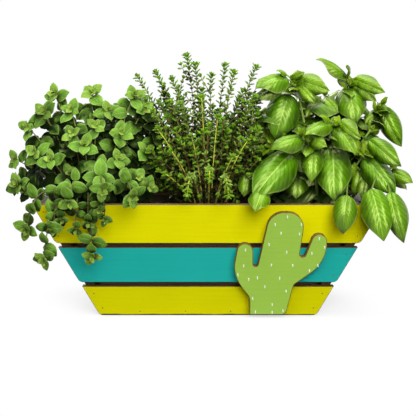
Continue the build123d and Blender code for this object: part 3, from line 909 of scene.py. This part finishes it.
def addThymeLeaf(heap, master, base, along, face, long, young):
    matrix = leafMatrix(base, along, face, long, long * thyme["width"] * rng.uniform(*thyme["wide"]))
    if leafClears(matrix, 0.0):
        # painted shade for leaves on the lower half of the stem
        paintedShade = thyme["lowShade"] * clamp(1 - 2 * young)
        age = clamp(young * young + jitter(thyme["age"]))
        heap.add(master, matrix, (age, paintedShade + jitter(thyme["shade"])))


# a crossed pair with young leaves in its axils every few millimetres, closer near the tip
def dressThyme(heap, master, stem, gap, axil, scale=1.0, keepBack=False):
    bare, pair, inAxil, tuft = thyme["bare"], thyme["pair"], thyme["axilPair"], thyme["tuft"]
    nodes = max(3, int(stemLength(stem) * (1 - bare) / gap))
    outlook = outlookOf(stem, 0.0, thyme["uplook"])
    for k in range(nodes):
        t = bare + (1 - bare) * (1 - (1 - k / nodes) ** thyme["crowding"])
        base, heading = stemPoint(stem, t), stemHeading(stem, t)
        if keepBack and base.y < thyme["leafLine"]:
            continue
        long = thyme["long"] * scale * (pair["grow"][0] + pair["grow"][1] * t)
        for sign in (0, math.pi):
            radial = radialOf(heading, k * math.pi / 2 + sign + jitter(pair["twist"]))
            if stem[2].y < thyme["frontLine"]:  # the front stems show between their leaves
                radial = Vector((radial.x, max(radial.y, thyme["frontTurn"]), radial.z)).normalized()
            along = radial * pair["out"] + heading * rng.uniform(*pair["up"])
            face = heading + outlook * pair["face"]
            addThymeLeaf(heap, master, base, along, face, long * rng.uniform(*pair["long"]), t)
            for side in (-1, 1):
                if rng.random() < axil:
                    aim = along.normalized() + heading.cross(radial) * side * inAxil["aside"]
                    aim += heading * rng.uniform(*inAxil["up"])
                    start, turned = base + radial * inAxil["off"], face + radial * jitter(inAxil["roll"])
                    addThymeLeaf(heap, master, start, aim, turned, long * rng.uniform(*inAxil["long"]), t)
    tip, heading = stemPoint(stem, 1.0), stemHeading(stem, 1.0)
    for leaf in range(tuft["count"]):
        radial = radialOf(heading, leaf * tuft["turn"] + jitter(tuft["twist"]))
        aim = heading + radial * rng.uniform(*tuft["out"])
        addThymeLeaf(heap, master, tip - heading * tuft["down"], aim, heading * tuft["face"] + radial,
                     thyme["long"] * rng.uniform(*tuft["long"]), 1.0)


def sowThyme():
    main = [uprightStem(0.0, tip) for tip in thyme["upright"] + thyme["between"]]
    main += [hangingStem(0.0, tip) for tip in thyme["hanging"]]
    more = companions(main, **thyme["companions"])
    shoots = sideShoots(main, **thyme["shoots"]) + sideShoots(more, **thyme["innerShoots"])
    front, inner, young = Heap(), Heap(), Heap()
    master = thymeLeaf()
    for stem in main:
        dressThyme(front, master, stem, thyme["gap"], thyme["axil"])
    for stem in more:
        dressThyme(inner, master, stem, thyme["innerGap"], thyme["innerAxil"], thyme["innerScale"],
                   keepBack=True)
    for stem in shoots:
        dressThyme(young, master, stem, thyme["innerGap"], thyme["innerAxil"], keepBack=True)
    showing = [stem for stem in main if stem[2].y < thyme["frontLine"]]
    thick = thyme["frontThick"]
    bright = [(planted(stem), thyme["stem"] * thick, thyme["tip"] * thick) for stem in showing]
    runs = [(planted(stem), thyme["stem"], thyme["tip"]) for stem in main + more if stem not in showing]
    runs += [(stem, thyme["tip"], thyme["tip"] * thyme["shootTaper"]) for stem in shoots]
    stalk = stemMaterial("thyme_stem", **thyme["stalk"])
    green = stemMaterial("thyme_front_stem", **thyme["frontStalk"])
    return {"node": "thyme_sprigs", "slot": "thyme_green", "sides": 0, "steps": 7,
            "heaps": {"thyme_leaves": front, "thyme_filling": inner, "thyme_shoots": young},
            "leaf": leafMaterial("thyme_leaf", thyme["look"]),
            "tubes": [("thyme_stems", runs, stalk), ("thyme_front_stems", bright, green)]}


# basil: large glossy leaves, humped between the veins
basil = {
    "upright": [
        (-36, 4, 140), (32, 8, 140), (72, 24, 108), (8, -42, 92), (-26, -50, 76), (46, -40, 58),
        (-10, 44, 100), (40, 46, 70), (82, -28, 40)],
    "between": [
        (-70, -44, 28), (-66, -8, 66), (-52, 30, 84), (2, 6, 108), (58, -2, 84), (70, 40, 60),
        (-30, 50, 66), (-18, 26, 116), (14, 34, 118), (50, 34, 102), (-60, 16, 52), (26, 20, 96),
        (-8, -6, 84), (-4, 16, 94), (18, 2, 90), (-30, 12, 100), (40, 14, 104), (8, 26, 78),
        (-16, -12, 72), (30, -14, 74), (-82, 14, 84), (-78, 32, 66), (-72, 2, 48), (-58, 22, 104),
        (-20, 22, 128), (2, 18, 126), (-8, 30, 116), (-74, 26, 96), (-66, 34, 86), (62, -14, 52),
        (66, 12, 60), (50, 22, 60)],
    "plan": {
        "pairs": [
            (0.0, 0.007, 18), (0.002, 0.012, 40), (0.005, 0.02, 55), (0.012, 0.034, 66),
            (0.03, 0.05, 82), (0.052, 0.058, 96), (0.078, 0.055, 100), (0.104, 0.05, 102)],
        "dressed": 0.8, "turned": 0.2, "uplook": 0.55, "facing": 0.6, "sag": 0.35, "stalk": 0.16,
        "width": 0.66, "scale": 1.0, "perMaster": 2, "arch": 0.12, "greening": 0.03, "paintedShade": 0.0,
        "lowShade": 0.5, "stalks": [], "stalkThick": 0.0011, "room": 0.011},
    "companions": {"count": 1, "shift": 0.025, "shorten": (0.45, 0.9), "back": 0.0},
    "look": {
        "young": rgb(0.33, 0.54, 0.008), "old": rgb(0.105, 0.335, 0.001),
        "shadow": rgb(0.004, 0.022, 0.0003), "rib": rgb(0.46, 0.66, 0.12),
        "sheen": rgb(0.85, 1.0, 0.32), "gloss": 0.3, "shine": 0.95, "inner": 0.95, "edgeShade": 0.42,
        "ribWidth": 0.055, "ribShow": 0.75, "veins": 9.0, "sweep": 0.4, "veinShow": 0.0, "valleyShade": 0.5,
        "margin": 0.9, "marginShow": 0.45, "blotch": 40.0, "puff": 0.8, "relief": 0.14,
        "reliefDepth": 0.003},
    "form": {
        "rows": 8, "columns": 4, "quilt": 0.0, "veins": 9, "sweep": 0.4, "ruffle": 0.02, "waves": 15,
        "curl": 0.0, "smooth": 0, "thick": 0.012, "drawn": 0.6},
    "outline": {"least": 0.03, "widest": 0.8, "full": 0.6, "point": 0.22},
    # arch, fold and cup from the tip down, and for the fine leaves the curl
    "bends": ((-0.04, 0.5, 0.5), (0.09, 0.35, 1.0), (0.13, 0.24, 1.2), (0.16, 0.2, 1.3)),
    "rosette": {
        "pairs": [(0.0, 0.009, 20), (0.0012, 0.013, 42), (0.003, 0.018, 60), (0.007, 0.025, 70)],
        "turned": 1.1, "uplook": 0.6, "sag": 0.1, "stalk": 0.05, "greening": 0.02},
    "fine": {"rows": 18, "columns": 8, "quilt": 0.01, "smooth": 1, "drawn": 0.0},
    "fineBends": ((0.15, 0.45, 1.7, 0.03), (0.12, 0.5, 1.7, -0.04), (0.18, 0.42, 1.8, 0.0)),
    "stem": 0.0021, "tip": 0.0013, "rosettes": 6,
    "stalk": {"low": rgb(0.1, 0.14, 0.03), "high": rgb(0.26, 0.4, 0.05), "greenFrom": 0.1},
}
# leaves that face the room: stem, pixel where the blade starts and of its tip, length and width in mm,
# roll in degrees, and for those that hang over the rim the way ahead of the boards in mm
basilFront = [
    (0, (288, 79), (255, 88), (47, 34), 12),
    (0, (284, 84), (252, 104), (48, 26), 25),
    (0, (290, 78), (305, 72), (24, 13), 40),
    (0, (287, 75), (276, 71), (18, 11), 30),
    (0, (297, 80), (330, 90), (46, 27), 30),
    (0, (297, 84), (316, 104), (38, 20), 20),
    (0, (289, 94), (274, 139), (60, 43), -8),
    (1, (347, 79), (316, 60), (47, 24), 40),
    (1, (348, 75), (346, 66), (22, 15), 10),
    (1, (353, 79), (385, 93), (48, 24), 30),
    (1, (353, 83), (377, 101), (42, 22), 20),
    (1, (347, 87), (356, 124), (55, 39), 0),
    (2, (380, 106), (401, 147), (57, 28), 20),
    (2, (381, 103), (388, 97), (14, 9), 10),
    (2, (377, 111), (365, 125), (28, 19), 0),
    (3, (331, 124), (305, 135), (40, 24), 10),
    (3, (336, 126), (356, 153), (46, 30), 5),
    (3, (340, 121), (361, 139), (38, 20), 35),
    (3, (330, 121), (319, 116), (18, 12), 20),
    (3, (332, 148), (336, 201), (70, 45), 0),
    (4, (303, 139), (271, 150), (44, 27), 5),
    (4, (313, 146), (311, 182), (46, 27), 0),
    (4, (291, 154), (254, 200), (80, 46), -5),
    (4, (297, 175), (296, 199), (34, 29), 0),
    (4, (310, 140), (327, 147), (26, 18), 20),
    (4, (303, 134), (297, 128), (15, 10), 10),
    (10, (267, 153), (251, 147), (24, 16), 10),
    (5, (369, 140), (401, 167), (52, 26), 25),
    (5, (364, 157), (396, 196), (62, 33), 5),
    (8, (389, 172), (413, 183), (34, 21), 10),
    (5, (361, 170), (354, 195), (32, 20), 0),
    (8, (371, 189), (385, 241), (64, 37), 0, 12),
    (8, (390, 192), (404, 243), (63, 28), 15, 8),
    (5, (347, 195), (342, 234), (46, 29), 0, 16),
    (9, (262, 191), (256, 212), (32, 26), 0, 10),
    (9, (247, 175), (244, 197), (29, 19), 0),
    (32, (270, 108), (254, 130), (33, 22), 10),
    (29, (264, 128), (253, 149), (30, 20), 0),
    (34, (322, 98), (338, 113), (38, 23), 10),
    (34, (320, 100), (306, 117), (36, 23), 10),
    (35, (322, 107), (329, 129), (36, 25), 0),
    (33, (306, 96), (299, 113), (30, 18), 0),
    (5, (366, 174), (361, 198), (32, 21), 0),
]
# how the leaves that face the room are set, and their stalks, which start so many hundredths up a stem
frontSet = {
    "longestStalk": 0.04, "toRoom": 0.8, "toSky": 0.45, "arch": 0.12, "age": (0.75, 9),
    "ageSpread": 0.12, "shadeSpread": 0.08, "bowAt": 0.6, "bowRise": 0.15, "stalkSet": 0.002,
    "stalk": 0.0013, "stalkEnd": 0.0009, "stemFrom": 20, "hangingFrom": 30, "overStalk": 0.012,
    "overWeight": 3,
}
# filling leaves stay behind the ones that face the room
fillingLine = {"high": -0.005, "low": -0.04, "highFrom": 0.085}


def pixelRay(pixel):
    tilt = math.radians(view["tiltDown"])
    reach = view["lens"] / view["sensor"] * view["frame"]
    right = (pixel[0] - view["frame"] / 2) / reach
    rise = (view["frame"] / 2 - pixel[1]) / reach
    ray = Vector((right, math.cos(tilt) + rise * math.sin(tilt), rise * math.cos(tilt) - math.sin(tilt)))
    return ray.normalized()


# the stalk starts where the stem passes nearest to the pixel's line of sight
def stalkFor(stem, pixel, ahead):
    ray = pixelRay(pixel)
    if ahead:  # hangs in front of the boards
        base = view["place"] + ray * ((frontY - ahead / 1000 - view["place"].y) / ray.y)
        least, weight = base.z + frontSet["overStalk"], frontSet["overWeight"]
        places = [stemPoint(stem, k / 100) for k in range(frontSet["hangingFrom"], 101)]
        return min(places, key=lambda p: (p - base).length + weight * max(0, least - p.z)), base
    best = None
    for k in range(frontSet["stemFrom"], 101):
        place = stemPoint(stem, k / 100)
        sight = view["place"] + ray * (place - view["place"]).dot(ray)
        gap = (sight - place).length
        if best is None or gap < best[0]:
            best = (gap, place, sight)
    gap, place, sight = best
    return place, place.lerp(sight, min(1.0, frontSet["longestStalk"] / max(gap, 0.0001)))


def tipFor(base, pixel, length):
    ray = pixelRay(pixel)
    depth = (base - view["place"]).dot(ray)
    foot = view["place"] + ray * depth
    spare = length ** 2 - (foot - base).length_squared
    return foot - ray * math.sqrt(spare) if spare > 0 else foot


def broadLeaf(t):
    outline = basil["outline"]
    full = outline["full"] + outline["point"] * t
    return max(outline["least"], math.sin(math.pi * t ** outline["widest"]) ** full)


def behindFront(tip):
    return tip.y > fillingLine["high" if tip.z > rimZ + fillingLine["highFrom"] else "low"]


# one leaf of the front table with its stalk
def addFrontLeaf(heap, master, stems, stem, basePixel, tipPixel, size, roll, ahead=0):
    length, width = (mm / 1000 for mm in size)
    foot, base = stalkFor(stems[stem], basePixel, ahead)
    along = tipFor(base, tipPixel, length) - base
    toRoom = (view["place"] - base).normalized() * frontSet["toRoom"] + upward * frontSet["toSky"]
    face = Matrix.Rotation(math.radians(roll), 4, along) @ toRoom
    matrix = leafMatrix(base, along, face, along.length, width)
    if not leafClears(matrix, frontSet["arch"]):
        print("leaf near the boards:", tipPixel)
    young, byLength = frontSet["age"]
    age = clamp(young - length * byLength + jitter(frontSet["ageSpread"]))
    heap.add(master, matrix, (age, jitter(frontSet["shadeSpread"])))
    bow = foot.lerp(base, frontSet["bowAt"]) + upward * (foot - base).length * frontSet["bowRise"]
    run = (foot, bow, base + along.normalized() * frontSet["stalkSet"])
    basil["plan"]["stalks"].append((run, frontSet["stalk"], frontSet["stalkEnd"]))


def sowBasil():
    form = dict(basil["form"], width=broadLeaf)
    masters = [leafMaster(dict(form, arch=a, fold=f, cup=c)) for a, f, c in basil["bends"]]
    form.update(basil["fine"])
    fine = [leafMaster(dict(form, arch=a, fold=f, cup=c, curl=s)) for a, f, c, s in basil["fineBends"]]
    stems = [uprightStem(crownX, tip) for tip in basil["upright"] + basil["between"]]
    more = companions(stems, **basil["companions"])
    front, inner = Heap(), Heap()
    for k, leaf in enumerate(basilFront):
        addFrontLeaf(front, fine[k % len(fine)], stems, *leaf)
    for stem in stems[:basil["rosettes"]]:
        dressStem(front, masters, stem, crownX, dict(basil["plan"], **basil["rosette"]))
    for stem in stems + more:
        dressStem(inner, masters, stem, crownX, basil["plan"], behindFront)
    runs = [(planted(stem), basil["stem"], basil["tip"]) for stem in stems + more] + basil["plan"]["stalks"]
    stalk = stemMaterial("basil_stem", **basil["stalk"])
    return {"node": "basil_sprigs", "slot": "basil_green", "sides": 1, "steps": 8,
            "heaps": {"basil_leaves": front, "basil_filling": inner},
            "leaf": leafMaterial("basil_leaf", basil["look"]),
            "tubes": [("basil_stems", runs, stalk)]}


def buildHerbs():
    herbs = [sowOregano(), sowThyme(), sowBasil()]
    canopy = Canopy([heap for herb in herbs for heap in herb["heaps"].values()])
    for herb in herbs:
        leaves = [heap.build(name, herb["leaf"], canopy) for name, heap in herb["heaps"].items()]
        stems = [stemTubes(*tube, herb["sides"], herb["steps"]) for tube in herb["tubes"]]
        for piece in leaves + stems:
            settle(piece)
        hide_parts(herb["node"])


# soil: a lumpy block that fills the trough, crumbs on top
soilForm = {
    "across": 26, "along": 84, "lump": 0.006, "lumpScale": 0.016, "lumpDepth": 4, "level": 0.75,
    "inset": 0.004, "footInset": 0.016, "floorGap": 0.001, "smoothAngle": 45, "crumbs": 700,
    "crumbSize": (0.0012, 0.0045), "crumbRough": 0.16, "crumbReach": (0.46, 0.45), "crumbSink": 0.003,
    "crumbTurn": 6.3, "crumbWide": (0.6, 1), "crumbHigh": 0.7,
}


def buildSoil():
    clearAll()
    size = soilHigh - soilLow
    bpy.ops.mesh.primitive_grid_add(x_subdivisions=soilForm["along"], y_subdivisions=soilForm["across"],
                                    size=1.0, location=(0, 0, soilZ))
    soil = bpy.context.object
    soil.name = "soil_bed"
    soil.scale = (size.x - 2 * soilForm["inset"], size.y - 2 * soilForm["inset"], 1)
    bpy.ops.object.transform_apply(location=True, scale=True)
    clouds = bpy.data.textures.new("soilClouds", "CLOUDS")
    clouds.noise_scale = soilForm["lumpScale"]
    clouds.noise_depth = soilForm["lumpDepth"]
    lumps = soil.modifiers.new("lumps", "DISPLACE")
    lumps.texture = clouds
    lumps.texture_coords = "LOCAL"
    lumps.strength = soilForm["lump"]
    lumps.mid_level = soilForm["level"]
    bakeModifiers(soil)
    bottom = baseHigh.x - baseLow.x - soilForm["footInset"]
    floorZ = soilLow.z + soilForm["floorGap"]
    pick(soil, lambda co: True)
    bpy.ops.mesh.select_all(action="SELECT")
    bpy.ops.mesh.region_to_loop()
    bpy.ops.mesh.extrude_region_move(TRANSFORM_OT_translate={"value": (0, 0, floorZ - soilZ)})
    bpy.ops.transform.resize(value=(bottom / size.x, 1, 0), center_override=(0, 0, floorZ))
    bpy.ops.mesh.edge_face_add()
    bpy.ops.mesh.select_all(action="SELECT")
    bpy.ops.mesh.normals_make_consistent(inside=False)
    bpy.ops.object.mode_set(mode="OBJECT")
    material = soilMaterial("soil_dark")
    soil.data.materials.append(material)
    bpy.ops.object.shade_smooth_by_angle(angle=math.radians(soilForm["smoothAngle"]))

    clearAll()
    bpy.ops.mesh.primitive_ico_sphere_add(subdivisions=1, radius=0.5, location=(0, 0, 0))
    crumb = bpy.context.object
    pick(crumb, lambda co: True)
    bpy.ops.transform.vertex_random(offset=soilForm["crumbRough"], seed=3)
    bpy.ops.object.mode_set(mode="OBJECT")
    master = readMaster(crumb)
    heap = Heap()
    reachX, reachY = soilForm["crumbReach"]
    fullTurn = soilForm["crumbTurn"]
    for i in range(soilForm["crumbs"]):
        grain = rng.uniform(*soilForm["crumbSize"])
        place = Vector((rng.uniform(-reachX, reachX) * size.x, rng.uniform(-reachY, reachY) * size.y,
                        soilZ + rng.uniform(-soilForm["crumbSink"], 0)))
        spin, roll = (Matrix.Rotation(rng.uniform(0, fullTurn), 4, axis) for axis in "ZX")
        turn = spin @ roll
        spread = (grain, grain * rng.uniform(*soilForm["crumbWide"]), grain * soilForm["crumbHigh"], 1)
        heap.add(master, Matrix.Translation(place) @ turn @ Matrix.Diagonal(spread))
    crumbs = heap.build("soil_crumbs", material)
    for piece in (soil, crumbs):
        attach(piece, "trough")
    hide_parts("potting_soil")
    print("soil faces:", len(soil.data.polygons) + len(crumbs.data.polygons))


# short chalk dashes on the cactus, in millimetres from its left edge and its foot
spines = {
    "wide": 0.0013, "long": 0.0036, "proud": 0.0003, "rounded": 0.9, "lean": 0.12,
    "places": [
        (62.4, 119), (48, 110), (79, 110), (55, 99.5), (77, 98.5), (41, 86), (100.5, 93), (107, 82.5),
        (92, 75), (62, 76.5), (13, 79.5), (11, 60), (44, 61), (69.5, 60.5), (99.5, 60.5), (89.5, 54),
        (4.2, 49), (27.5, 45.5), (17, 43.5), (54, 45), (36.5, 34.5), (62, 29), (22, 20), (45.5, 12.5),
        (25.5, 3.4), (58.5, 4.7), (45.5, 3)],
}


def buildSpines():
    clearAll()
    bpy.ops.mesh.primitive_cube_add(size=1.0, location=(0, 0, 0))
    dash = bpy.context.object
    dash.scale = (spines["wide"], spines["proud"] * 2, spines["long"])
    bpy.ops.object.transform_apply(scale=True)
    corner = dash.modifiers.new("corner", "BEVEL")
    corner.width = spines["proud"] * spines["rounded"]
    corner.segments = 2
    bakeModifiers(dash)
    master = readMaster(dash)
    heap = Heap()
    for x, z in spines["places"]:
        place = Vector((cactusLow.x + x / 1000, cactusLow.y, cactusLow.z + z / 1000))
        heap.add(master, Matrix.Translation(place) @ Matrix.Rotation(jitter(spines["lean"]), 4, "Y"))
    piece = heap.build("cactus_spines", chalkPaint("spine_chalk", paints["spine"]))
    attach(piece, "box")
    print("spines:", len(spines["places"]))


studio = {
    "keyPlace": (0.4, -1.5, 1.05), "keySize": 1.3, "keyPower": 37.0, "fillPlace": (-1.2, -1.2, 0.7),
    "fillSize": 1.2, "fillPower": 7.0, "topPlace": (0.0, 0.05, 1.5), "topSize": 1.2, "topPower": 16.0,
    "backPlace": (-0.5, 1.5, 0.9), "backSize": 1.3, "backPower": 26.0, "aimHeight": 0.13,
    "skyLevel": 0.12, "mirrorFrom": (0.2, 0.7), "floorSize": 12.0, "floorDrop": 0.0002,
    "floorTone": 0.3, "contactShadeGlow": 0.6, "nearGlow": 0.7, "contact": 0.014, "floorFar": 0.11,
}


def aimLamp(name, place, size, power):
    clearAll()
    bpy.ops.object.light_add(type="AREA", location=place)
    lamp = bpy.context.object
    lamp.name = name
    aim = Vector((0, 0, studio["aimHeight"])) - Vector(place)
    lamp.rotation_euler = aim.to_track_quat("-Z", "Y").to_euler()
    lamp.data.size = size
    lamp.data.energy = power


# the floor takes the shadow near the foot of the box, has painted shade where its glow is dimmed at the
# foot, and runs out into plain white
def whiteFloor():
    material, tree, shader = startMaterial("white_floor", Roughness=0.9, Specular_IOR_Level=0.0)
    place = nodeOf(tree, "SeparateXYZ", {0: nodeOf(tree, "TexCoord").outputs["Object"]}).outputs
    beside = []
    for axis, reach in (("X", baseHigh.x), ("Y", -frontY)):
        gap = mathOf(tree, "SUBTRACT", mathOf(tree, "ABSOLUTE", place[axis]), reach)
        beside.append(mathOf(tree, "POWER", mathOf(tree, "MAXIMUM", gap, 0.0), 2.0))
    away = mathOf(tree, "SQRT", mathOf(tree, "ADD", *beside))
    far = rangeOf(tree, away, studio["contact"], studio["floorFar"])
    grey = mixOf(tree, far, shade(rgb(1, 1, 1), studio["floorTone"]), rgb(0, 0, 0))
    tree.links.new(grey, shader.inputs["Base Color"])
    rays = nodeOf(tree, "LightPath").outputs
    seen = mathOf(tree, "MAXIMUM", rays["Is Camera Ray"], rays["Is Glossy Ray"])
    # the dimmer glow at the foot of the box is painted shade
    glow = rangeOf(tree, away, 0.0, studio["contact"], studio["contactShadeGlow"], studio["nearGlow"])
    glow = mathOf(tree, "ADD", glow, rangeOf(tree, far, 0.0, 1.0, 0.0, 1.0 - studio["nearGlow"]))
    shader.inputs["Emission Color"].default_value = rgb(1, 1, 1)
    tree.links.new(timesOf(tree, seen, glow), shader.inputs["Emission Strength"])
    return material


def buildStudio():
    clearAll()
    bpy.ops.object.camera_add(location=view["place"], rotation=(math.radians(90 - view["tiltDown"]), 0, 0))
    camera = bpy.context.object
    camera.data.lens = view["lens"]
    camera.data.sensor_width = view["sensor"]
    scene.camera = camera
    for name in ("key", "fill", "top", "back"):
        aimLamp(name + "_lamp", studio[name + "Place"], studio[name + "Size"], studio[name + "Power"])

    clearAll()
    bpy.ops.mesh.primitive_plane_add(size=studio["floorSize"], location=(0, 0, -studio["floorDrop"]))
    floor = bpy.context.object
    floor.name = "floor"
    floor.data.materials.append(whiteFloor())

    world = bpy.data.worlds.new("studio_sky")
    scene.world = world
    world.use_nodes = True
    tree = world.node_tree
    sky = tree.nodes["Background"]
    rays = nodeOf(tree, "LightPath")
    seen = mathOf(tree, "MAXIMUM", rays.outputs["Is Camera Ray"], rays.outputs["Is Transmission Ray"])
    aim = nodeOf(tree, "SeparateXYZ", {0: nodeOf(tree, "TexCoord").outputs["Generated"]}).outputs["Y"]
    mirrored = timesOf(tree, rays.outputs["Is Glossy Ray"], rangeOf(tree, aim, *studio["mirrorFrom"]))
    seen = mathOf(tree, "MAXIMUM", seen, mirrored)  # only the backdrop's side of the room mirrors white
    tree.links.new(rangeOf(tree, seen, 0.0, 1.0, studio["skyLevel"], 1.0), sky.inputs["Strength"])
    sky.inputs["Color"].default_value = rgb(1, 1, 1)
    print("studio ready")


buildSoil()
buildHerbs()
buildSpines()
buildStudio()
